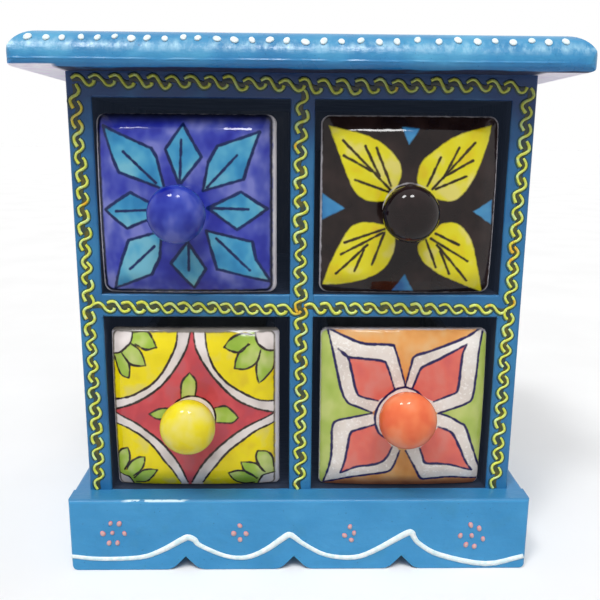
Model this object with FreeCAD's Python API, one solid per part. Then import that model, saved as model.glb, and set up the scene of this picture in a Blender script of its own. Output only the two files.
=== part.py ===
"""Jewellery chest with four glazed ceramic drawers in a painted wooden case.

Millimetres. X runs to the right, Y to the back and Z up. The origin is on the floor under the middle of the chest.
The case is glued and nailed from boards of one thickness. The middle shelf and the centre divider cross in a
halving joint, a moulded board is laid on top, and a scalloped plinth wraps round the foot. Each drawer is a
ceramic box luted to a crowned face, with a turned ceramic knob set in the middle of the face.
"""

import FreeCAD
import Part
import math
import os

from FreeCAD import Vector

# Case boards and the four drawer bays.
board = 8.5
bay_width = 67.25
bay_height = 67.8
case_depth = 100.0
back_panel_thickness = 3.0
board_edge_round = 0.9
halving_clearance = 0.1
overrun = 1.0

# Moulded top board.
top_thickness = 12.0
top_overhang_front = 13.5
top_overhang_side = 14.8
top_corner_round = 3.0
moulding_round = 9.5
moulding_lower_round = 2.4

# Plinth round the foot of the case.
plinth_height = 28.5
plinth_front_thickness = 8.5
plinth_side_thickness = 6.0
plinth_edge_round = 1.2
plinth_corner_round = 2.5
notch_height = 5.4
notch_slope_deg = 46.0
lobe_corner_radius = 6.0
notch_spacing = 40.8
notch_shift = -2.3
back_rail_thickness = 8.0
back_rail_lift = 3.0
glue_block = 12.0
glue_block_lift = 1.0

# Ceramic drawer: face, box and knob.
face_side_gap = 2.6
face_top_gap = 5.0
slide_gap = 0.3
face_stand = 2.7
face_crown = 1.6
face_thickness = 6.0
face_corner_radius = 3.3
face_edge_round = 2.8
box_side_inset = 2.5
box_drop = 12.5
box_wall = 4.0
box_floor = 4.5
box_draft = 1.0
box_corner_radius = 6.0
box_inner_radius = 4.0
box_floor_round = 3.0
box_rim_round = 1.5
box_back_gap = 0.3
knob_neck_diameter = 9.8
knob_root_diameter = 12.0
knob_root_height = 1.6
knob_neck_length = 4.8
knob_middle = 13.0
knob_length = 19.4
knob_spigot_diameter = 6.0
knob_spigot_length = 3.6
knob_socket_clearance = 0.1
knob_seat_depth = 0.3

# The drawers are made by hand. Each lies loose, this far to the right of its bay's middle and this far pushed in.
# Each has its own knob, set this far to the right of the middle of its face and this far above it.
drawer_offset = {"upper_left": -2.1, "upper_right": -0.5, "lower_left": -1.1, "lower_right": 0.4}
drawer_setback = {"upper_left": 0.0, "upper_right": 0.8, "lower_left": 2.4, "lower_right": 2.6}
knob_diameter = {"upper_left": 19.2, "upper_right": 18.9, "lower_left": 19.5, "lower_right": 20.6}
knob_right = {"upper_left": -1.7, "upper_right": -1.8, "lower_left": -1.2, "lower_right": -0.5}
knob_up = {"upper_left": -1.4, "upper_right": -0.9, "lower_left": -0.4, "lower_right": 2.0}

# Nails and panel pins.
nail_diameter = 1.4
nail_head_diameter = 2.8
nail_head_height = 0.8
nail_clearance = 0.05
side_nail_length = 22.0
side_nail_inset = 20.0
top_nail_length = 15.0
top_nail_inset = 35.0
divider_nail_length = 20.0
pin_diameter = 1.2
pin_head_diameter = 2.4
pin_head_height = 0.6
pin_length = 12.0
pin_inset = 14.0

# Places worked out from the sizes above.
case_width = 2 * bay_width + 3 * board
knob_reach = face_crown + face_stand - knob_seat_depth + knob_length
front_reach = max(knob_reach, top_overhang_front, plinth_front_thickness)
case_front = front_reach - (front_reach + case_depth) / 2
case_back = case_front + case_depth
panel_front = case_back - back_panel_thickness
bay_depth = case_depth - back_panel_thickness
side_inner = case_width / 2 - board
bay_middle = (board + bay_width) / 2

bay_floor = {"lower": plinth_height, "upper": plinth_height + bay_height + board}
bottom_under = plinth_height - board
shelf_under = plinth_height + bay_height
upper_under = bay_floor["upper"] + bay_height
case_top = upper_under + board

face_width = bay_width - 2 * face_side_gap
face_height = bay_height - face_top_gap - slide_gap
face_rim = case_front - face_stand
face_apex = face_rim - face_crown
face_back = face_rim + face_thickness

X, Y, Z = Vector(1, 0, 0), Vector(0, 1, 0), Vector(0, 0, 1)
tolerance = 1e-4


def block(x0, x1, y0, y1, z0, z1):
    """A plain board between two corners."""
    return Part.makeBox(x1 - x0, y1 - y0, z1 - z0, Vector(x0, y0, z0))


def face_of(edges):
    """A flat face inside a closed run of edges."""
    return Part.Face(Part.Wire(Part.__sortEdges__(edges)))


def line(p, q):
    return Part.LineSegment(p, q).toShape()


def polyline(points):
    return [line(p, q) for p, q in zip(points, points[1:])]


def rounding(corner, along, inward_a, inward_b, radius):
    """The sliver to take off a board's edge to round it. The edge starts at corner and runs by the vector along."""
    spare = 0.2
    start = corner + inward_a * radius
    end = corner + inward_b * radius
    centre = corner + (inward_a + inward_b) * radius
    middle = centre - (inward_a + inward_b).normalize() * radius
    outline = [Part.Arc(start, middle, end).toShape()]
    outline += polyline([end, end - inward_a * spare, corner - (inward_a + inward_b) * spare,
                         start - inward_b * spare, start])
    return face_of(outline).extrude(along)


def quarter_round(start, corner, end):
    """A quarter of an ellipse from start to end, bulging towards the corner that its two ends face."""
    curve = Part.BSplineCurve()
    curve.buildFromPolesMultsKnots([start, corner, end], [3, 3], [0, 1], False, 2, [1, math.sqrt(0.5), 1])
    return curve.toShape()


def turned(profile, base, axis):
    """A full turn of a closed profile about an axis through base."""
    return face_of(profile).revolve(base, axis, 360)


def nail(base, direction, length, diameter, head_diameter, head_height, grow=0.0):
    """A nail with a flush head. It starts at base, the middle of the head's outer face."""
    shank = Part.makeCylinder(diameter / 2 + grow, length + grow, base, direction)
    head = Part.makeCylinder(head_diameter / 2 + grow, head_height + grow, base, direction)
    return shank.fuse(head).removeSplitter()


class Nails:
    """A group of like nails, each given by where its head lies and which way it is driven."""

    def __init__(self, places, length, diameter, head_diameter, head_height):
        sizes = (length, diameter, head_diameter, head_height)
        self.solids = Part.makeCompound([nail(base, way, *sizes) for base, way in places])
        self.holes = [nail(base, way, *sizes, grow=nail_clearance) for base, way in places]

    def bored_through(self, wood):
        """The board with the holes that the nails leave in it."""
        return wood.cut(self.holes)


def side_nails(side):
    """Two nails through a side into the end of each of the three level boards."""
    heights = [plinth_height - board / 2, shelf_under + board / 2, case_top - board / 2]
    depths = [case_front + side_nail_inset, panel_front - side_nail_inset]
    places = [(Vector(side * case_width / 2, y, z), X * -side) for z in heights for y in depths]
    return Nails(places, side_nail_length, nail_diameter, nail_head_diameter, nail_head_height)


def top_nails():
    """Four nails from inside the upper bays, through the upper board into the moulded top."""
    depths = [case_front + side_nail_inset, panel_front - side_nail_inset]
    places = [(Vector(x, y, upper_under), Z) for x in (top_nail_inset - case_width / 2, case_width / 2 - top_nail_inset)
              for y in depths]
    return Nails(places, top_nail_length, nail_diameter, nail_head_diameter, nail_head_height)


def divider_nails():
    """Two nails up and two nails down into the ends of the centre divider."""
    depths = [case_front + side_nail_inset, panel_front - side_nail_inset]
    places = [(Vector(0, y, bottom_under), Z) for y in depths]
    places += [(Vector(0, y, case_top), -Z) for y in depths]
    return Nails(places, divider_nail_length, nail_diameter, nail_head_diameter, nail_head_height)


def back_pins():
    """Pins round the edge of the back panel, with one where the shelf and the divider cross."""
    edge_x = case_width / 2 - board / 2
    edge_z = [plinth_height - board / 2, case_top - board / 2]
    spots = [(side * edge_x, z) for side in (-1, 1)
             for z in (bottom_under + pin_inset + board, shelf_under + board / 2, case_top - pin_inset - board)]
    spots += [(side * bay_middle, z) for side in (-1, 1) for z in edge_z]
    spots += [(0, shelf_under - pin_inset), (0, shelf_under + board + pin_inset)]
    places = [(Vector(x, case_back, z), -Y) for x, z in spots]
    return Nails(places, pin_length, pin_diameter, pin_head_diameter, pin_head_height)


def side_panel(side):
    """A side of the case. Its front edges are rounded, the inner one only where a drawer bay opens."""
    outer, inner = side * case_width / 2, side * side_inner
    panel = block(min(outer, inner), max(outer, inner), case_front, panel_front, bottom_under, case_top)
    height = case_top - plinth_height
    cuts = [rounding(Vector(outer, case_front, plinth_height), Z * height, X * -side, Y, board_edge_round)]
    cuts += [rounding(Vector(inner, case_front, floor), Z * bay_height, X * side, Y, board_edge_round)
             for floor in bay_floor.values()]
    return panel.cut(cuts)


def level_board(under, rounded_below, rounded_above):
    """A level board between the sides. A front edge that borders a drawer bay is rounded."""
    wood = block(-side_inner, side_inner, case_front, panel_front, under, under + board)
    cuts = []
    for left in (-side_inner, board / 2):
        if rounded_below:
            cuts.append(rounding(Vector(left, case_front, under), X * bay_width, Z, Y, board_edge_round))
        if rounded_above:
            cuts.append(rounding(Vector(left, case_front, under + board), X * bay_width, -Z, Y, board_edge_round))
    return wood.cut(cuts) if cuts else wood


def middle_shelf():
    """The shelf, slotted from the front to its middle, so that it slides over the centre divider."""
    slot = board / 2 + halving_clearance
    halving = case_front + bay_depth / 2 + halving_clearance / 2
    shelf = level_board(shelf_under, True, True)
    return shelf.cut(block(-slot, slot, case_front - overrun, halving, shelf_under - overrun,
                           shelf_under + board + overrun))


def centre_divider():
    """The upright between the bays, slotted from the back to its middle for the shelf."""
    halving = case_front + bay_depth / 2 - halving_clearance / 2
    wood = block(-board / 2, board / 2, case_front, panel_front, plinth_height, upper_under)
    cuts = [block(-board, board, halving, panel_front + overrun, shelf_under - halving_clearance,
                  shelf_under + board + halving_clearance)]
    for side in (-1, 1):
        cuts += [rounding(Vector(side * board / 2, case_front, floor), Z * bay_height, X * -side, Y,
                          board_edge_round) for floor in bay_floor.values()]
    return wood.cut(cuts)


def back_panel():
    return block(-case_width / 2, case_width / 2, panel_front, case_back, bottom_under, case_top)


def top_board():
    """The top. One moulding runs round the front and both ends and mitres at the corners, which are then eased."""
    half = case_width / 2 + top_overhang_side
    front = case_front - top_overhang_front
    wood = block(-half, half, front, case_back, case_top, case_top + top_thickness)

    def rim(height):
        return [e for e in wood.Edges if abs(e.BoundBox.ZMin - height) < tolerance and e.BoundBox.ZLength < tolerance
                and e.BoundBox.YMin < case_back - tolerance]

    wood = wood.makeFillet(moulding_round, rim(case_top + top_thickness))
    wood = wood.makeFillet(moulding_lower_round, rim(case_top))
    outline = rounded_outline(-half, half, front, case_back + overrun, case_top - overrun, top_corner_round,
                              round_back=False)
    return wood.common(face_of(outline).extrude(Z * (top_thickness + 2 * overrun)))


def rounded_outline(x0, x1, y0, y1, z, radius, round_back=True, round_front=True):
    """A level rectangle whose front or back corners are rounded."""
    front, back = (radius if round_front else 0), (radius if round_back else 0)
    edges = [line(Vector(x0 + front, y0, z), Vector(x1 - front, y0, z)),
             line(Vector(x1, y0 + front, z), Vector(x1, y1 - back, z)),
             line(Vector(x1 - back, y1, z), Vector(x0 + back, y1, z)),
             line(Vector(x0, y1 - back, z), Vector(x0, y0 + front, z))]
    slack = 1 - math.sqrt(0.5)
    for x, way in ((x0, 1), (x1, -1)):
        if front:
            edges.append(Part.Arc(Vector(x, y0 + front, z), Vector(x + way * front * slack, y0 + front * slack, z),
                                  Vector(x + way * front, y0, z)).toShape())
        if back:
            edges.append(Part.Arc(Vector(x, y1 - back, z), Vector(x + way * back * slack, y1 - back * slack, z),
                                  Vector(x + way * back, y1, z)).toShape())
    return edges


def scalloped(length, notches, across, thickness, direction, corner_round):
    """A plinth board standing on the floor. Pointed notches in its lower edge leave rounded lobes between them.

    The board runs along across from -length / 2 to length / 2, and is given its thickness along direction."""
    slope = math.radians(notch_slope_deg)
    radius = lobe_corner_radius
    arc_run = radius * math.sin(slope)
    arc_rise = radius * (1 - math.cos(slope))
    half_notch = arc_run + (notch_height - arc_rise) / math.tan(slope)
    half_bend = math.sin(slope / 2) * radius, radius * (1 - math.cos(slope / 2))

    def at(run, height):
        return across * run + Z * height

    edges = []
    here = -length / 2 + corner_round
    for notch in notches:
        rise_from, fall_to = notch - half_notch, notch + half_notch
        edges += [line(at(here, 0), at(rise_from, 0)),
                  Part.Arc(at(rise_from, 0), at(rise_from + half_bend[0], half_bend[1]),
                           at(rise_from + arc_run, arc_rise)).toShape(),
                  line(at(rise_from + arc_run, arc_rise), at(notch, notch_height)),
                  line(at(notch, notch_height), at(fall_to - arc_run, arc_rise)),
                  Part.Arc(at(fall_to - arc_run, arc_rise), at(fall_to - half_bend[0], half_bend[1]),
                           at(fall_to, 0)).toShape()]
        here = fall_to
    edges.append(line(at(here, 0), at(length / 2 - corner_round, 0)))
    slack = corner_round * (1 - math.sqrt(0.5))
    for end in (-1, 1):
        if corner_round:
            edges.append(Part.Arc(at(end * (length / 2 - corner_round), 0), at(end * (length / 2 - slack), slack),
                                  at(end * length / 2, corner_round)).toShape())
        edges.append(line(at(end * length / 2, corner_round), at(end * length / 2, plinth_height)))
    edges.append(line(at(-length / 2, plinth_height), at(length / 2, plinth_height)))
    return face_of(edges).extrude(direction * thickness)


def plinth_front():
    """The scalloped front board. It covers the front ends of the two side boards."""
    length = case_width + 2 * plinth_side_thickness
    notches = [notch_shift + step * notch_spacing for step in (-1, 0, 1)]
    wood = scalloped(length, notches, X, plinth_front_thickness, -Y, plinth_corner_round)
    wood.translate(Y * case_front)
    front = case_front - plinth_front_thickness
    cuts = [rounding(Vector(-length / 2, front, plinth_height), X * length, -Z, Y, plinth_edge_round)]
    cuts += [rounding(Vector(side * length / 2, front, 0), Z * plinth_height, X * -side, Y, plinth_edge_round)
             for side in (-1, 1)]
    return wood.cut(cuts)


def plinth_side(side):
    """A side board of the plinth, with one notch in the middle of its length."""
    wood = scalloped(case_depth, (0,), Y, plinth_side_thickness, X * side, 0)
    wood.translate(Vector(side * case_width / 2, (case_front + case_back) / 2, 0))
    outer = side * (case_width / 2 + plinth_side_thickness)
    return wood.cut(rounding(Vector(outer, case_front, plinth_height), Y * case_depth, -Z, X * -side,
                             plinth_edge_round))


def plinth_back():
    """A plain rail between the side boards, held clear of the floor."""
    return block(-case_width / 2, case_width / 2, case_back - back_rail_thickness, case_back,
                 back_rail_lift, bottom_under)


def glue_blocks():
    """Square blocks in the inner corners of the plinth, under the case."""
    rear = case_back - back_rail_thickness
    blocks = []
    for side in (-1, 1):
        inner, outer = sorted((side * (case_width / 2 - glue_block), side * case_width / 2))
        for y0, y1 in ((case_front, case_front + glue_block), (rear - glue_block, rear)):
            blocks.append(block(inner, outer, y0, y1, glue_block_lift, bottom_under))
    return Part.makeCompound(blocks)


def drawer_face(middle, low, knob_axis):
    """The crowned face of a drawer: a rounded tile under part of a large sphere, with a seat for the knob."""
    outline = rounded_outline(middle - face_width / 2, middle + face_width / 2, -low - face_height, -low, 0,
                              face_corner_radius)
    tile = face_of(outline).extrude(Z * (face_crown + face_thickness))
    tile.rotate(Vector(), X, -90)
    tile.translate(Y * face_apex)
    half = min(face_width, face_height) / 2
    sphere_radius = (half * half + face_crown * face_crown) / (2 * face_crown)
    apex = Vector(middle, face_apex, low + face_height / 2)
    tile = tile.common(Part.makeSphere(sphere_radius, apex + Y * sphere_radius))
    front_edges = [e for e in tile.Edges if e.BoundBox.YMax < face_back - 0.01 and e.BoundBox.YLength > -1
                   and not is_along(e, Y)]
    tile = tile.makeFillet(face_edge_round, front_edges)
    seat = Part.makeCylinder(knob_root_diameter / 2 + knob_socket_clearance, knob_seat_depth + overrun,
                             knob_axis - Y * overrun, Y)
    socket = Part.makeCylinder(knob_spigot_diameter / 2 + knob_socket_clearance,
                               knob_seat_depth + knob_spigot_length + knob_socket_clearance, knob_axis, Y)
    return tile.cut([seat, socket])


def is_along(edge, direction):
    """Whether an edge is a straight one that runs along a direction."""
    ends = edge.Vertexes
    if len(ends) < 2:
        return False
    run = ends[1].Point - ends[0].Point
    return run.Length > 0 and abs(abs(run.dot(direction)) - run.Length) < tolerance


def drawer_box(middle, low):
    """The hollow ceramic box behind the face. Its walls lean out a little towards the open top."""
    half = face_width / 2 - box_side_inset
    front, back = face_back, panel_front - box_back_gap - max(drawer_setback.values())
    height = face_height - box_drop
    shell = lofted_box(middle, half, front, back, low, height, box_corner_radius, round_front=False)
    inner = lofted_box(middle, half - box_wall, front + box_wall, back - box_wall, low + box_floor,
                       height - box_floor, box_inner_radius, round_front=True)
    floor_edges = [e for e in inner.Edges if e.BoundBox.ZMax < low + box_floor + 0.01]
    inner = inner.makeFillet(box_floor_round, floor_edges)
    box = shell.cut(inner)
    rim = low + height
    rim_edges = [e for e in box.Edges if e.BoundBox.ZMin > rim - 0.01 and e.BoundBox.YMax > front + 0.01]
    return box.makeFillet(min(box_rim_round, box_wall * 0.45), rim_edges)


def lofted_box(middle, half, front, back, low, height, radius, round_front):
    """A solid box that grows by box_draft at both sides and the back from its floor to its top."""
    lower = rounded_outline(middle - half + box_draft, middle + half - box_draft, front, back - box_draft, low,
                            radius, round_front=round_front)
    upper = rounded_outline(middle - half, middle + half, front, back, low + height, radius,
                            round_front=round_front)
    return Part.makeLoft([Part.Wire(Part.__sortEdges__(lower)), Part.Wire(Part.__sortEdges__(upper))], True, True)


def knob(axis, diameter):
    """A turned knob: a flattened ball on a short neck that flares at its root, with a spigot let into the face."""
    neck, root, spigot = knob_neck_diameter / 2, knob_root_diameter / 2, knob_spigot_diameter / 2
    radius = diameter / 2

    def at(out, across):
        return axis + X * across + Y * (knob_seat_depth - out)

    profile = [quarter_round(at(0, root), at(0, neck), at(knob_root_height, neck)),
               line(at(knob_root_height, neck), at(knob_neck_length, neck)),
               quarter_round(at(knob_neck_length, neck), at(knob_neck_length, radius), at(knob_middle, radius)),
               quarter_round(at(knob_middle, radius), at(knob_length, radius), at(knob_length, 0))]
    profile += polyline([at(knob_length, 0), at(-knob_spigot_length, 0), at(-knob_spigot_length, spigot),
                         at(0, spigot), at(0, root)])
    return turned(profile, at(0, 0), Y)


def build():
    """Every piece of the chest by name."""
    left_nails, right_nails = side_nails(-1), side_nails(1)
    nails_up, nails_middle, pins = top_nails(), divider_nails(), back_pins()

    def nailed(wood, *groups):
        for group in groups:
            wood = group.bored_through(wood)
        return wood

    pieces = {
        "left_side": nailed(side_panel(-1), left_nails, pins),
        "right_side": nailed(side_panel(1), right_nails, pins),
        "bottom_board": nailed(level_board(bottom_under, False, True), left_nails, right_nails, nails_middle, pins),
        "upper_board": nailed(level_board(upper_under, True, False), left_nails, right_nails, nails_up,
                              nails_middle, pins),
        "middle_shelf": nailed(middle_shelf(), left_nails, right_nails),
        "centre_divider": nailed(centre_divider(), nails_middle, pins),
        "back_panel": nailed(back_panel(), pins),
        "top_board": nailed(top_board(), nails_up),
        "plinth_front": plinth_front(),
        "plinth_left": plinth_side(-1),
        "plinth_right": plinth_side(1),
        "plinth_back": plinth_back(),
        "glue_blocks": glue_blocks(),
        "left_side_nails": left_nails.solids,
        "right_side_nails": right_nails.solids,
        "top_board_nails": nails_up.solids,
        "divider_nails": nails_middle.solids,
        "back_panel_pins": pins.solids,
    }
    for place, offset in drawer_offset.items():
        storey, hand = place.split("_")
        middle = (-bay_middle if hand == "left" else bay_middle) + offset
        low = bay_floor[storey] + slide_gap
        axis = Vector(middle + knob_right[place], face_apex, low + face_height / 2 + knob_up[place])
        drawer = {"drawer_face_": drawer_face(middle, low, axis), "drawer_box_": drawer_box(middle, low),
                  "knob_": knob(axis, knob_diameter[place])}
        for name, shape in drawer.items():
            shape.translate(Y * drawer_setback[place])
            pieces[name + place] = shape
    return pieces


os.makedirs("parts", exist_ok=True)
for name, shape in build().items():
    shape.exportStep("parts/" + name + ".step")
    print(name, "valid" if shape.isValid() else "NOT VALID", len(shape.Solids), "solids",
          round(shape.Volume / 1000, 2), "cm3")
print("case width", case_width, "height", case_top + top_thickness, "case front", case_front, "back", case_back)
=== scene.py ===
"""A small wooden chest with four glazed drawers, painted blue and trimmed with raised cone work."""
import math
import random

import bmesh
import bpy
import numpy as np
from mathutils import Matrix, Vector


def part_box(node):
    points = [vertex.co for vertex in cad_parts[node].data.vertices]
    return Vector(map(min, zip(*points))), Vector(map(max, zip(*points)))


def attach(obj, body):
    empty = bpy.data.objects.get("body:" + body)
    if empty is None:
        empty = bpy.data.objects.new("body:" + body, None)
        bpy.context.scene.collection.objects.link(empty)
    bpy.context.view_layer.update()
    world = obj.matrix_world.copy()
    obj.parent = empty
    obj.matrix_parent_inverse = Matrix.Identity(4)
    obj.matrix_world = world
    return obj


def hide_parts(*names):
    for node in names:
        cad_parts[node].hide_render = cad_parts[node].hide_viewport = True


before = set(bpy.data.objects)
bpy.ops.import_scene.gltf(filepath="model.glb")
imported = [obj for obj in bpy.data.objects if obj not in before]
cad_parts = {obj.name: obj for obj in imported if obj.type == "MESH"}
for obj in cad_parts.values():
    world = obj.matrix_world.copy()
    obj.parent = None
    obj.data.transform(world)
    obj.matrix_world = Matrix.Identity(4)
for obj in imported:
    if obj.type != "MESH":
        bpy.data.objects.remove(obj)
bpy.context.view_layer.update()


# The camera stands level with the upper drawers and looks a little down at the front of the chest.
# Two small lamps hang above the front, a broad soft one fills between them, and the floor is pale.
camera = bpy.data.cameras.new("camera")
camera.lens = 42.78
camera.sensor_width = 36
camera.clip_start = 0.01
viewer = bpy.data.objects.new("camera", camera)
viewer.location = (-0.0062, -0.2894, 0.1583)
viewer.rotation_euler = [math.radians(angle) for angle in (77.53, -0.43, -1.195)]
bpy.context.scene.collection.objects.link(viewer)
bpy.context.scene.camera = viewer
bpy.context.scene.view_settings.view_transform = "Standard"


def lamp(name, turn, height, width, strength, mirrored=True):
    """A far lamp. turn is degrees to the right of the front, height is degrees above the floor."""
    light = bpy.data.lights.new(name, "SUN")
    light.angle = math.radians(width)
    light.energy = strength
    hung = bpy.data.objects.new(name, light)
    hung.rotation_euler = (math.radians(90 - height), 0, math.radians(turn))
    hung.visible_glossy = mirrored
    bpy.context.scene.collection.objects.link(hung)


lamp("left_lamp", turn=-36, height=57, width=10, strength=0.75)
lamp("right_lamp", turn=7, height=57, width=10, strength=0.75)
lamp("broad_lamp", turn=-8, height=60, width=45, strength=1.5, mirrored=False)


def colour(red, green, blue):
    """A shader's colour from screen values of 0 to 255."""
    parts = [v / 255 for v in (red, green, blue)]
    return [v / 12.92 if v <= 0.04045 else ((v + 0.055) / 1.055) ** 2.4 for v in parts] + [1.0]


def put(tree, socket, value):
    """Links a value to a socket where it comes from a node, or else sets it there."""
    if isinstance(value, bpy.types.NodeSocket):
        tree.links.new(value, socket)
    else:
        socket.default_value = value


def node(tree, kind, out=0, **settings):
    """Adds a node. A setting is one of its properties, or one of its inputs with _ for a space."""
    made = tree.nodes.new("ShaderNode" + kind)
    for name, value in settings.items():
        if hasattr(made, name):
            setattr(made, name, value)
        else:
            put(tree, made.inputs[name.replace("_", " ")], value)
    return made.outputs[out]


def mix(tree, share, first, second):
    """Goes from one colour to another by a share. A colour is a node's output, or three screen values."""
    made = tree.nodes.new("ShaderNodeMix")
    made.data_type = "RGBA"
    for place, value in ((0, share), (6, first), (7, second)):
        put(tree, made.inputs[place], colour(*value) if isinstance(value, tuple) else value)
    return made.outputs[2]


def maths(tree, operation, first, second):
    made = tree.nodes.new("ShaderNodeMath")
    made.operation = operation
    put(tree, made.inputs[0], first)
    put(tree, made.inputs[1], second)
    return made.outputs[0]


def spread(tree, value, low, high, to_low=0.0, to_high=1.0):
    """Maps a value from one range to another, and stops at its ends."""
    return node(tree, "MapRange", Value=value, From_Min=low, From_Max=high, To_Min=to_low, To_Max=to_high)


SKY_LIGHT = 0.30
SKY_SEEN = 1.0
sky = bpy.data.worlds.new("sky")
sky.use_nodes = True
sky_tree = sky.node_tree
sky_tree.nodes.clear()


def looked_at(tree):
    """1 for rays that come from the camera, or by way of gloss or glass, and 0 for the light's own rays."""
    rays = tree.nodes.new("ShaderNodeLightPath").outputs
    seen = maths(tree, "MAXIMUM", rays["Is Camera Ray"], rays["Is Glossy Ray"])
    return maths(tree, "MAXIMUM", seen, rays["Is Transmission Ray"])


strength = spread(sky_tree, looked_at(sky_tree), 0, 1, SKY_LIGHT, SKY_SEEN)
sky_glow = node(sky_tree, "Background", Color=colour(255, 255, 255), Strength=strength)
node(sky_tree, "OutputWorld", out=slice(None), Surface=sky_glow)
bpy.context.scene.world = sky


def shader(name):
    """A new material with a principled shader, and its node tree."""
    made = bpy.data.materials.new(name)
    made.use_nodes = True
    return made, made.node_tree, made.node_tree.nodes["Principled BSDF"]


def grain(tree, size, detail=3.0, turned=(0, 0, 0), roughness=0.5):
    """Noise from 0 to 1 whose blobs are size millimetres across, or three sizes along X, Y and Z."""
    sizes = size if isinstance(size, (tuple, list)) else (size, size, size)
    place = node(tree, "TexCoord", out="Object")
    stretched = node(tree, "Mapping", Vector=place, Rotation=turned, Scale=[1000 / length for length in sizes])
    return node(tree, "TexNoise", Vector=stretched, Scale=1.0, Detail=detail, Roughness=roughness)


def washes(tree, share, *colours):
    """Runs through several screen colours as a noise goes from its usual low to its usual high."""
    made = tree.nodes.new("ShaderNodeValToRGB")
    stops = made.color_ramp.elements
    while len(stops) < len(colours):
        stops.new(0.5)
    for place, (stop, shade) in enumerate(zip(stops, colours)):
        stop.position = 0.33 + 0.34 * place / (len(colours) - 1)
        stop.color = colour(*shade)
    put(tree, made.inputs[0], share)
    return made.outputs[0]


FLOOR_SEEN = [(240, 240, 240), (244, 244, 244)]
FLOOR_BOUNCING = (196, 196, 196)
floor_mesh = bpy.data.meshes.new("floor")
shaping = bmesh.new()
bmesh.ops.create_grid(shaping, x_segments=1, y_segments=1, size=20, matrix=Matrix.Translation((0, 0, -0.0002)))
shaping.to_mesh(floor_mesh)
shaping.free()
floor = bpy.data.objects.new("floor", floor_mesh)
bpy.context.scene.collection.objects.link(floor)
floor_paint, tree, surface = shader("pale_floor")
tone = mix(tree, looked_at(tree), FLOOR_BOUNCING, washes(tree, grain(tree, 90), *FLOOR_SEEN))
put(tree, surface.inputs["Base Color"], tone)
surface.inputs["Roughness"].default_value = 0.9
floor_mesh.materials.append(floor_paint)


# The case is five boards and a divider of light wood, butted and nailed, then brushed with blue enamel. The
# bays were painted near black first, and the blue stops just inside their front edges. A faint glow there
# stands for the light that many bounces bring into them.
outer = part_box("left_side")[0]
inner_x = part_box("right_side")[0].x
bay_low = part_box("bottom_board")[1].z
bay_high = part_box("upper_board")[0].z
back_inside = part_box("back_panel")[0].y
case_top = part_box("top_board")[0].z
# The case's blue is a darker copy of the plinth's, as painted shade over the case.
SHADED_CASE_BLUE = [(32, 97, 148), (42, 113, 163), (54, 126, 173)]
GREENER_BLUE = (60, 138, 176)
DARK_SPECK = (24, 66, 112)
EAVES_PAINTED_SHADE = (12, 32, 86)
EAVES = 0.174
BAY_BLACK = [(28, 34, 46), (42, 50, 66)]
BAY_GLOW = (18, 23, 32)
NO_GLOW = (0, 0, 0)


def directions(tree):
    """A place on the object, and its X, Y and Z apart."""
    place = node(tree, "TexCoord", out="Object")
    axes = tree.nodes.new("ShaderNodeSeparateXYZ")
    put(tree, axes.inputs[0], place)
    return place, *axes.outputs


def times(tree, first, second):
    """The product of two masks, or a mask made weaker."""
    return maths(tree, "MULTIPLY", first, second)


def within(tree, value, low, high, soft=0.0001):
    """1 where a value lies between two limits, 0 outside them."""
    above = spread(tree, value, low - soft, low + soft)
    below = spread(tree, value, high - soft, high + soft, 1.0, 0.0)
    return times(tree, above, below)


def coat(tree, surface, tone, rough, dents, strength, depth):
    """Gives a finish its colour, its roughness, and dents of a strength and a depth in metres."""
    put(tree, surface.inputs["Base Color"], tone)
    put(tree, surface.inputs["Roughness"], rough)
    bump = tree.nodes.new("ShaderNodeBump")
    bump.inputs["Strength"].default_value = strength
    bump.inputs["Distance"].default_value = depth
    put(tree, bump.inputs["Height"], dents)
    put(tree, surface.inputs["Normal"], bump.outputs[0])


def patchy(tree, noise, low, high):
    """A roughness that follows a noise."""
    return spread(tree, noise, 0.3, 0.7, low, high)


def enamel(name, along, shades=SHADED_CASE_BLUE, shine=(0.28, 0.44)):
    """Brushed enamel. along gives the size in millimetres of a brush mark on X, Y and Z."""
    paint, tree, surface = shader(name)
    _, x, y, z = directions(tree)
    clouds = grain(tree, 22, 4)
    marks = grain(tree, along, 4, roughness=0.6)
    tone = washes(tree, clouds, *shades)
    tone = mix(tree, spread(tree, marks, 0.35, 0.7, 0.0, 0.5), tone, shades[0])
    tone = mix(tree, spread(tree, grain(tree, 9, 2, (1, 2, 3)), 0.55, 0.75, 0.0, 0.35), tone, GREENER_BLUE)
    tone = mix(tree, spread(tree, grain(tree, 0.9, 1, (2, 1, 0)), 0.73, 0.78, 0.0, 0.45), tone, DARK_SPECK)

    # Painted shade: the enamel darkens towards the top of the case, under the top's overhang.
    height = maths(tree, "ADD", z, spread(tree, grain(tree, 12, 3), 0.2, 0.8, -0.012, 0.012))
    on_case = spread(tree, z, case_top + 0.0001, case_top - 0.0001)
    shade = times(tree, spread(tree, height, 0.140, EAVES), on_case)
    tone = mix(tree, times(tree, shade, 0.84), tone, EAVES_PAINTED_SHADE)

    edge = maths(tree, "ADD", y, spread(tree, grain(tree, 3), 0.2, 0.8, -0.0002, 0.0002))
    bay = within(tree, edge, outer.y + 0.0006, back_inside + 0.001, 0.0002)
    bay = times(tree, bay, within(tree, x, -inner_x - 0.0001, inner_x + 0.0001))
    bay = times(tree, bay, within(tree, z, bay_low - 0.0001, bay_high + 0.0001))
    tone = mix(tree, bay, tone, washes(tree, marks, *BAY_BLACK))
    put(tree, surface.inputs["Emission Color"], mix(tree, bay, NO_GLOW, BAY_GLOW))
    surface.inputs["Emission Strength"].default_value = 1.0

    surface.inputs["Specular IOR Level"].default_value = 0.4
    dabs = times(tree, grain(tree, [max(2.5, length / 4) for length in along], 2), 1.2)
    dents = maths(tree, "ADD", times(tree, marks, 0.7), dabs)
    coat(tree, surface, tone, spread(tree, clouds, 0.35, 0.65, *shine), dents, 0.45, 0.0003)
    return paint, tree, surface, (x, y, z)


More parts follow.
